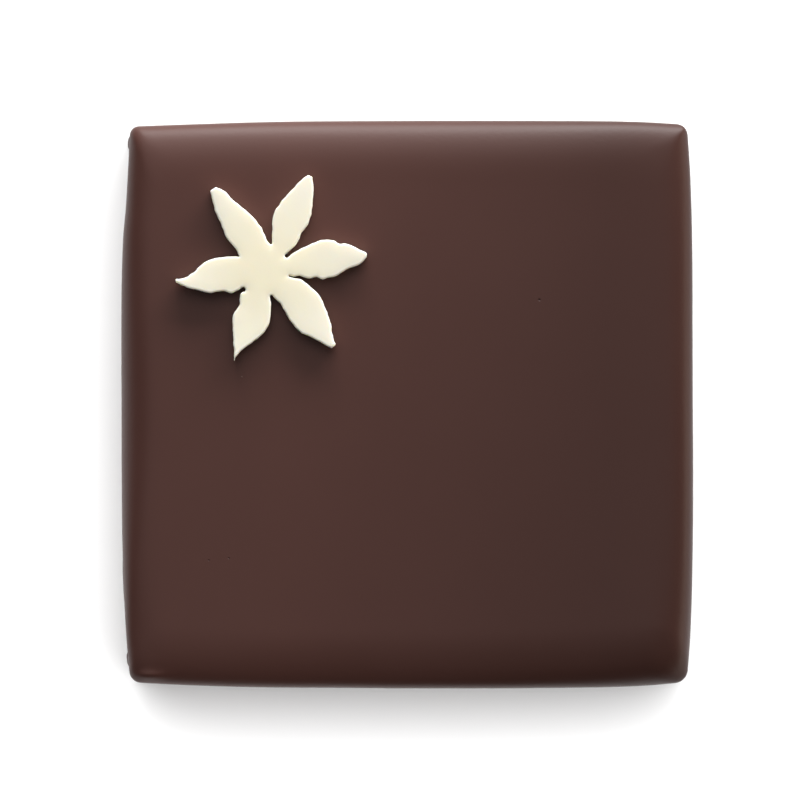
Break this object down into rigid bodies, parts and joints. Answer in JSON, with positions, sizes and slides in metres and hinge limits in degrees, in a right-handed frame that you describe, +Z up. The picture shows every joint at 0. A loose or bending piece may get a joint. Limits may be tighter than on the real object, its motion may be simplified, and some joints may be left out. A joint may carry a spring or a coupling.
{
  "type": "ganache chocolate",
  "caption": "Square filled chocolate with slightly bulging sides, rounded upper edges and a thin white petalled flower plaque near one corner of its flat top.",
  "frame": {"origin": "middle of the flat underside, which is the bottom centre of the whole", "axes": "+Z up through the flat top, +Y towards the back edge that the flower is near, +X to the right"},
  "size_m": [0.031, 0.0308, 0.0111],
  "materials": {
    "dark_chocolate": "dark chocolate coating, smooth with a soft satin sheen",
    "white_chocolate": "white chocolate sheet, cream, nearly matt, with cut edges"
  },
  "bodies": {
    "root": {"chocolate": "dark_chocolate", "flower": "white_chocolate"}
  },
  "joints": []
}
